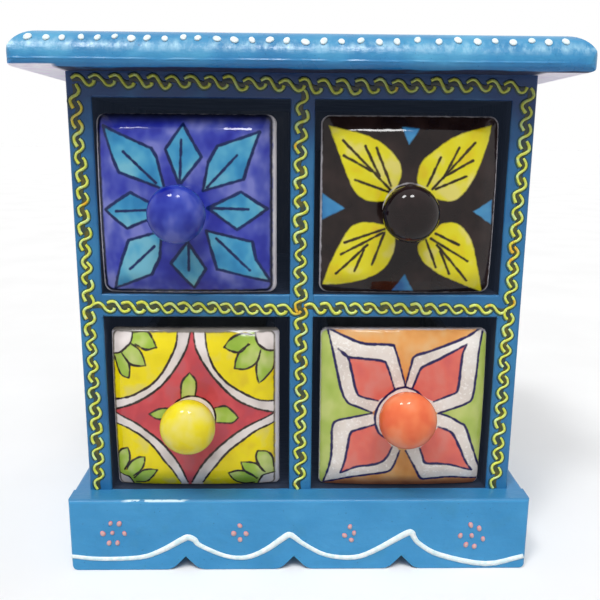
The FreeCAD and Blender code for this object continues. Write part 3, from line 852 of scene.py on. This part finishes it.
# The upper right face: four yellow leaves with dark veins, and a small blue wedge at the middle of each
# side, on a ground of near-black brown.
UPPER_RIGHT_LEAVES = [
    ((-28.4, 27.7), [(-15, 24.1), (-7.8, 19.8), (-3.8, 14.5), (-3.7, 10.2), (-5.3, 6.5)],
     [(-24.6, 17.6), (-20.1, 6.9), (-16.2, 3), (-12.3, 2.2), (-8.1, 2.5)]),
    ((28.1, 28.1), [(16.3, 24.9), (8.1, 19.9), (3.3, 15.1), (2.1, 9.2), (4.2, 6.5)],
     [(26, 20.6), (21.3, 9.2), (17.1, 3.8), (13.3, 2.4), (8.8, 3.2)]),
    ((-29.8, -28.3), [(-26.6, -18.5), (-21.4, -8.1), (-17.6, -5.5), (-13.1, -5.2), (-8.7, -6)],
     [(-20.8, -27.2), (-13, -24.6), (-7.5, -20.4), (-5, -14.7), (-4.9, -10.1)]),
    ((28.6, -31), [(25.1, -20), (22.7, -12.4), (18.9, -6.8), (14.8, -5), (10.9, -5.6)],
     [(19.4, -27.1), (11.4, -23.3), (6, -19.3), (3.5, -15.2), (3.7, -12.4), (6.1, -10.7)]),
]
UPPER_RIGHT_VEINS = [
    [(-6.8, 5.9), (-23.6, 22.7)], [(-10.9, 10.7), (-16, 20.8)], [(-6.9, 7.5), (-12.2, 20.3)],
    [(-11.4, 11.3), (-23.3, 17.6)], [(-7.4, 5.3), (-19.3, 9.5)], [(7.5, 6.5), (21.8, 22.2)],
    [(11.2, 10.3), (16.3, 20.5)], [(5.7, 7.6), (10, 17.3)], [(11.7, 10.9), (21.3, 16.3)],
    [(8.6, 6.5), (19.3, 10.9)], [(-8.6, -7.4), (-22.4, -12.3)], [(-9.1, -8.6), (-23.6, -16.6)],
    [(-14.5, -13.1), (-25.2, -23.7)], [(-15.6, -14.8), (-18.7, -22.6)], [(-8.6, -8.6), (-12.7, -20.2)],
    [(6.1, -11.2), (10.1, -21)], [(9.4, -8.9), (17.9, -13)], [(7.8, -10.7), (21.4, -18.8)],
    [(10.1, -13), (21.8, -26.1)], [(11.4, -15.2), (15.1, -23.4)],
]
UPPER_RIGHT_WEDGES = [
    [(-30.4, 4.6), (-30.4, -4.6), (-22.7, -0.3)], [(29.4, 2.6), (29.7, -5.9), (22.2, -1.2)],
    [(-3.5, 27.3), (2.5, 26.8), (-1.1, 21.5)], [(-0.9, -23.6), (-4.6, -30), (3, -30.2)],
]


def upper_right_drawing(at):
    frame_depth = framed(at, -30.55, 30.55, -30.9, 31.0, 3)
    return {
        "leaves": depth_in(at, outlines_of(edges_of(UPPER_RIGHT_LEAVES))),
        "wedges": depth_in(at, UPPER_RIGHT_WEDGES),
        "veins": inked(at, UPPER_RIGHT_VEINS, 0.85),
        "ring": 0.14 - np.abs(np.hypot(at[:, 0] + 0.45, at[:, 1] + 0.35) - 8.8),
        "rim": -frame_depth,
    }


brown_paint = glaze(
    "brown_tile_glaze", [(24, 14, 14), (36, 24, 22), (48, 34, 32)],
    [("wedges", [(38, 110, 170), (58, 134, 188), (76, 150, 196)], 0.3),
     ("leaves", [(222, 196, 26), (224, 212, 20), (226, 216, 40), (226, 214, 110)], 0.3),
     ("veins", [(36, 26, 14), (66, 52, 22)], 0.2),
     ("ring", RIM_WHITE, 0.2),
     ("rim", RIM_WHITE, 0.3)])
tile("upper_right", brown_paint, upper_right_drawing, bend=55, steepest=26, corner=0.0033)


# The lower left face: a red field with four hollow sides between quarter rounds of yellow with white bands.
# Each corner has half a daisy with green petals, and three more green leaves stand round the knob.
LOWER_LEFT_OUTER = [
    [(-1.6, 30.2), (-3.1, 24), (-7.8, 15.9), (-13.5, 9.5), (-20.5, 4.7), (-25.9, 2.2), (-31.3, -0.4)],
    [(-0.5, 30.2), (0.5, 25), (3.5, 18.9), (8.5, 11.9), (15.1, 5.3), (21.8, 1.9), (28.9, -0.7)],
    [(-30.5, -1.2), (-23.7, -3.3), (-18.6, -6.8), (-13.1, -11.6), (-8.7, -17.3), (-5.6, -23),
     (-3.9, -29.4)],
    [(28.6, -1.3), (21.8, -3.9), (14.9, -8), (9.2, -12.8), (3.8, -18.5), (0.3, -23.6), (-2.5, -29.4)],
]
LOWER_LEFT_INNER = [
    [(-6.4, 30.2), (-6.7, 25.6), (-8.7, 21.1), (-11.6, 15.9), (-15.7, 11.2), (-21.5, 7.5), (-25, 5.9),
     (-30.5, 4)],
    [(3.7, 30.2), (4.9, 23.4), (7.4, 17.1), (11.7, 11.9), (16.8, 8.3), (23, 5.1), (29.1, 3.7)],
    [(-30.4, -5.4), (-25.6, -6.3), (-21.1, -8.7), (-16, -13.5), (-12.3, -19.1), (-9, -23.7), (-6.6, -29.6)],
    [(28.9, -4.8), (22.9, -6.9), (17.8, -10.6), (11.9, -15.4), (7.2, -21.1), (4.2, -25.1), (1.8, -29.4)],
]
LOWER_LEFT_CORNERS = [(-45, 45), (45, 45), (-45, -45), (45, -45)]
LOWER_LEFT_DISCS = [
    [(-23, 31.8), (-23.1, 27.1), (-25, 24.7), (-27.8, 22.4), (-33.2, 21.1)],
    [(21.8, 31.8), (22.7, 27), (25, 24.5), (27.4, 23.3), (33, 22.6)],
    [(-33.2, -25.3), (-28.3, -26.8), (-26, -27.7), (-24.4, -33.3)],
    [(22, -33.3), (23.9, -27.7), (25.7, -26), (32, -25.9)],
]
LOWER_LEFT_LEAVES = [
    ((-13.7, 24.9), [(-15.5, 28.1), (-17.9, 30.3), (-22.4, 29.7)], [(-17.7, 24.1), (-21.6, 25.9)]),
    ((-17.7, 18.1), [(-18.8, 21.6), (-20.4, 24.3), (-23.6, 26.3)], [(-21.1, 18), (-24, 19), (-26.8, 22.5)]),
    ((-24.2, 13.3), [(-23.8, 16.8), (-24.5, 19.6), (-26.8, 22.2)],
     [(-27.1, 14.1), (-28.6, 16.8), (-29.8, 20.6)]),
    ((10.8, 25), [(12.9, 27.6), (16.9, 29.4), (21.6, 29)], [(13.6, 23.6), (16.9, 23.3), (19.6, 26)]),
    ((14.6, 17.1), [(15.2, 20.5), (16.9, 23.9), (20.2, 26)], [(19.1, 17), (23, 19.7), (24.1, 23.7)]),
    ((23.5, 11.3), [(22.7, 14.6), (22.7, 18.6), (24.1, 23.2)], [(26.4, 13.7), (29.1, 17.3), (29.4, 23.1)]),
    ((-26, -14.4), [(-28.8, -15.9), (-30.7, -19.1), (-31.5, -23.5)],
     [(-25.3, -17.1), (-25.8, -20.4), (-28, -24.2)]),
    ((-19.5, -17.7), [(-22.1, -18.1), (-25.2, -20.4), (-27, -23.9)],
     [(-19.9, -20.6), (-21.3, -23.3), (-24.5, -26.4)]),
    ((-15, -23.1), [(-18.3, -22.9), (-21.3, -24), (-24.4, -27.6)],
     [(-17.5, -26.8), (-20.2, -29.4), (-23.8, -29.6)]),
    ((11.7, -24.5), [(15.8, -23.5), (19.8, -24.8), (22.4, -28)],
     [(13.9, -28.4), (17.3, -30.4), (21.4, -30.1)]),
    ((16.5, -19.9), [(19.9, -20.1), (22.8, -21.2), (25.1, -24.4)],
     [(17.6, -23.3), (19.8, -25.4), (22.7, -27.5)]),
    ((22.8, -15.4), [(26.3, -16.2), (28.5, -19.2), (28.8, -23.2)],
     [(22.2, -18.3), (23.4, -21.5), (25.7, -24.9)]),
    ((-1.8, 15.7), [(0.6, 12), (-0.1, 6)], [(-4.7, 12), (-5.2, 6)]),
    ((15.8, -1.9), [(13.9, 0.6), (11.1, 2.8), (7.2, 2.2)], [(13.8, -3.7), (11.5, -3.9), (7.6, -3.6)]),
    ((-17.2, -0.4), [(-13.8, 1.5), (-10.9, 2), (-8.5, 1.6)], [(-15.1, -1.9), (-12.8, -2.4), (-8.5, -2.4)]),
]


def lower_left_drawing(at):
    outer_lines = [smooth_line(line) for line in LOWER_LEFT_OUTER]
    inner_lines = [smooth_line(line) for line in LOWER_LEFT_INNER]
    discs = [smooth_line(line) for line in LOWER_LEFT_DISCS]
    edges = edges_of(LOWER_LEFT_LEAVES)
    frame_depth = framed(at, -30.3, 29.2, -31.0, 30.2, 2)

    def cornered(lines):
        """Closes each line round its corner of the tile, well outside it."""
        closed = []
        for line, (x, z) in zip(lines, LOWER_LEFT_CORNERS):
            first, last = line[0], line[-1]
            if abs(last[0]) > abs(first[0]):
                turn = [(x, last[1]), (x, z), (first[0], z)]
            else:
                turn = [(last[0], z), (x, z), (x, first[1])]
            closed.append(np.vstack([line, turn]))
        return closed

    from_knob = np.hypot(at[:, 0] + 1.0, at[:, 1] + 1.6)
    disc_depth = depth_in(at, cornered(discs))
    return {
        "bands": depth_in(at, cornered(outer_lines)),
        "quarters": depth_in(at, cornered(inner_lines)),
        "leaves": np.maximum(depth_in(at, outlines_of(edges)), 2.6 + disc_depth),
        "discs": disc_depth,
        "lines": np.maximum(inked(at, outer_lines + inner_lines, 0.85), inked(at, edges + discs, 0.75)),
        "collar": 8.3 - from_knob,
        "ring": 0.35 - np.abs(from_knob - 8.4),
        "frame_line": 0.35 - np.abs(frame_depth),
        "rim": -frame_depth - 0.3,
        # Painted shade: the top rim is a dull grey.
        "shaded_top_rim": at[:, 1] - 30.1,
    }


GLAZE_WHITE = [(206, 196, 192), (226, 216, 212), (236, 228, 226)]
LEAF_GREEN = [(138, 172, 52), (160, 188, 72), (194, 204, 126)]
yellow_paint = glaze(
    "yellow_tile_glaze", [(178, 72, 84), (192, 70, 78), (206, 80, 86), (196, 90, 98)],
    [("bands", GLAZE_WHITE, 0.2),
     ("quarters", [(222, 196, 30), (232, 212, 14), (236, 216, 20), (222, 206, 90)], 0.2),
     ("leaves", LEAF_GREEN, 0.2),
     ("discs", GLAZE_WHITE, 0.2),
     ("lines", [(36, 26, 26), (62, 50, 44)], 0.16),
     ("collar", GLAZE_WHITE, 0.2),
     ("ring", [(26, 20, 22), (40, 30, 30)], 0.16),
     ("frame_line", [(54, 46, 40), (90, 80, 60)], 0.3),
     ("rim", RIM_WHITE, 0.3),
     ("shaded_top_rim", [(120, 114, 108), (150, 146, 140)], 0.3)])
tile("lower_left", yellow_paint, lower_left_drawing, bend=46, steepest=30, corner=0.0022)


# The lower right face: four flying petals with broad white borders and coral hearts, over orange above and
# below and green at the sides. The white is stippled with thick slip.
LOWER_RIGHT_PETALS = [
    ((-28.5, 31.4), [(-21.7, 28.5), (-15, 26.3), (-5.5, 25.9), (-3.6, 24), (0.4, 10.7)],
     [(-26.7, 24), (-25.1, 16.7), (-23.2, 8.6), (-20.8, 4), (-16.9, 2.2), (-11.7, 0.2)]),
    ((29.8, 32), [(23.6, 28.8), (17.7, 26.6), (9.2, 23.7), (3.5, 21.8), (2.2, 18.3), (0.4, 10.7)],
     [(27.8, 23.3), (27, 13.6), (25.9, 5.4), (23.3, 3.3), (18.6, 1.6), (13, -0.2)]),
    ((-29.3, -30.5), [(-26.9, -20.9), (-26.4, -14.4), (-26.3, -6.3), (-24.7, -3.5), (-19.6, -2), (-11.6, -0.1)],
     [(-20.6, -27.3), (-11.9, -25.5), (-5, -24), (-2.8, -21.3), (-0.8, -15.2)]),
    ((33.2, -29.4), [(29.6, -20.4), (26.5, -12.6), (23.8, -5.9), (21.3, -4), (17.1, -1.5), (13, -0.2)],
     [(20.7, -27), (11.8, -27.5), (8.2, -27.4), (5.5, -22.7), (1.5, -15.2)]),
]
LOWER_RIGHT_HEARTS = [
    ((-24.6, 24.2), [(-21.2, 21.5), (-15, 20.8), (-8.3, 20), (-6.6, 18.2), (-3.4, 8.9)],
     [(-21.2, 21.5), (-19.5, 15.7), (-17.6, 8.1), (-15.3, 6.2), (-9.6, 4.8)]),
    ((22.9, 26), [(17.7, 23.4), (12.1, 20.5), (6.5, 17.7), (4.9, 14.8), (2.8, 8.9)],
     [(21.4, 22.7), (20.8, 16.9), (20, 8.7), (17.3, 6.9), (11, 4.4)]),
    ((-23, -25.1), [(-21.4, -19.7), (-20.5, -13.9), (-19.5, -8.3), (-17.2, -6.9), (-10.5, -4.6)],
     [(-16.8, -22.1), (-12.1, -21.4), (-7.6, -20), (-5.3, -17.5), (-3.7, -13.6)]),
    ((27.9, -24.6), [(24.8, -20.1), (22.3, -14.7), (19.3, -8.9), (16.9, -7), (13.3, -5.6)],
     [(20.1, -21.7), (14.2, -20.8), (9.4, -20.4), (8, -17.5), (6.8, -14.3)]),
]
LOWER_RIGHT_SIDES = [
    [(-40, 33.5), (-28.5, 31.4), (-11.7, 0.2), (-29.3, -30.5), (-40, -32.5)],
    [(40, 33), (29.8, 32), (13, -0.2), (33.2, -29.4), (40, -31)],
]
LOWER_RIGHT_RING = [
    (0.4, 10.2), (-3.5, 9.0), (-7.9, 5.1), (-10.3, 0.3), (-10.2, -4.5), (-8.2, -8.6), (-3, -11), (3, -10.6),
    (7, -7.6), (9, -3), (8.6, 3), (5, 8.2), (0.4, 10.2),
]


def lower_right_drawing(at):
    petals, hearts = edges_of(LOWER_RIGHT_PETALS), edges_of(LOWER_RIGHT_HEARTS)
    in_ring = depth_in(at, [smooth_line(LOWER_RIGHT_RING)])
    return {
        "sides": depth_in(at, LOWER_RIGHT_SIDES),
        "petals": np.maximum(depth_in(at, outlines_of(petals)), in_ring),
        "hearts": np.minimum(depth_in(at, outlines_of(hearts)), -in_ring),
        "lines": np.maximum(np.minimum(inked(at, petals + hearts, 0.95), -in_ring), 0.45 - np.abs(in_ring)),
        # Painted shade: a darker orange-brown along the bottom edge.
        "low_edge": -27.6 - at[:, 1],
        "rim": -framed(at, -30.8, 30.8, -31.3, 31.0, 3),
    }


orange_paint = glaze(
    "orange_tile_glaze", [(216, 142, 70), (226, 160, 90), (224, 176, 120)],
    [("low_edge", [(156, 92, 62), (176, 108, 70)], 2.0),
     ("sides", [(162, 184, 82), (176, 193, 97), (192, 203, 118)], 0.4),
     ("petals", [(214, 204, 196), (226, 216, 207), (234, 228, 222)], 0.2),
     ("hearts", [(212, 100, 94), (222, 110, 96), (218, 126, 114)], 0.2),
     ("lines", [(26, 24, 78), (44, 38, 86)], 0.18),
     ("rim", RIM_WHITE, 0.3)], stippled="petals")
tile("lower_right", orange_paint, lower_right_drawing, bend=33, steepest=29, corner=0.0024)


# The knobs are turned from the same clay, a flattened ball on a short neck, glazed in one colour of their
# face's pattern. A spigot is cemented into a socket in the face.
KNOB_COLOURS = {
    "upper_left": [(20, 28, 142), (34, 48, 158), (58, 74, 176), (90, 100, 188)],
    "upper_right": [(26, 16, 16), (36, 24, 24), (46, 34, 34)],
    "lower_left": [(228, 208, 26), (234, 216, 24), (232, 216, 80), (228, 214, 120)],
    "lower_right": [(230, 104, 64), (238, 124, 78), (238, 142, 102)],
}
for place in PLACES:
    knob_glaze = glaze("knob_glaze_" + place, KNOB_COLOURS[place], [], (8, 8, 10))
    wear(knob_glaze, "knob_" + place)
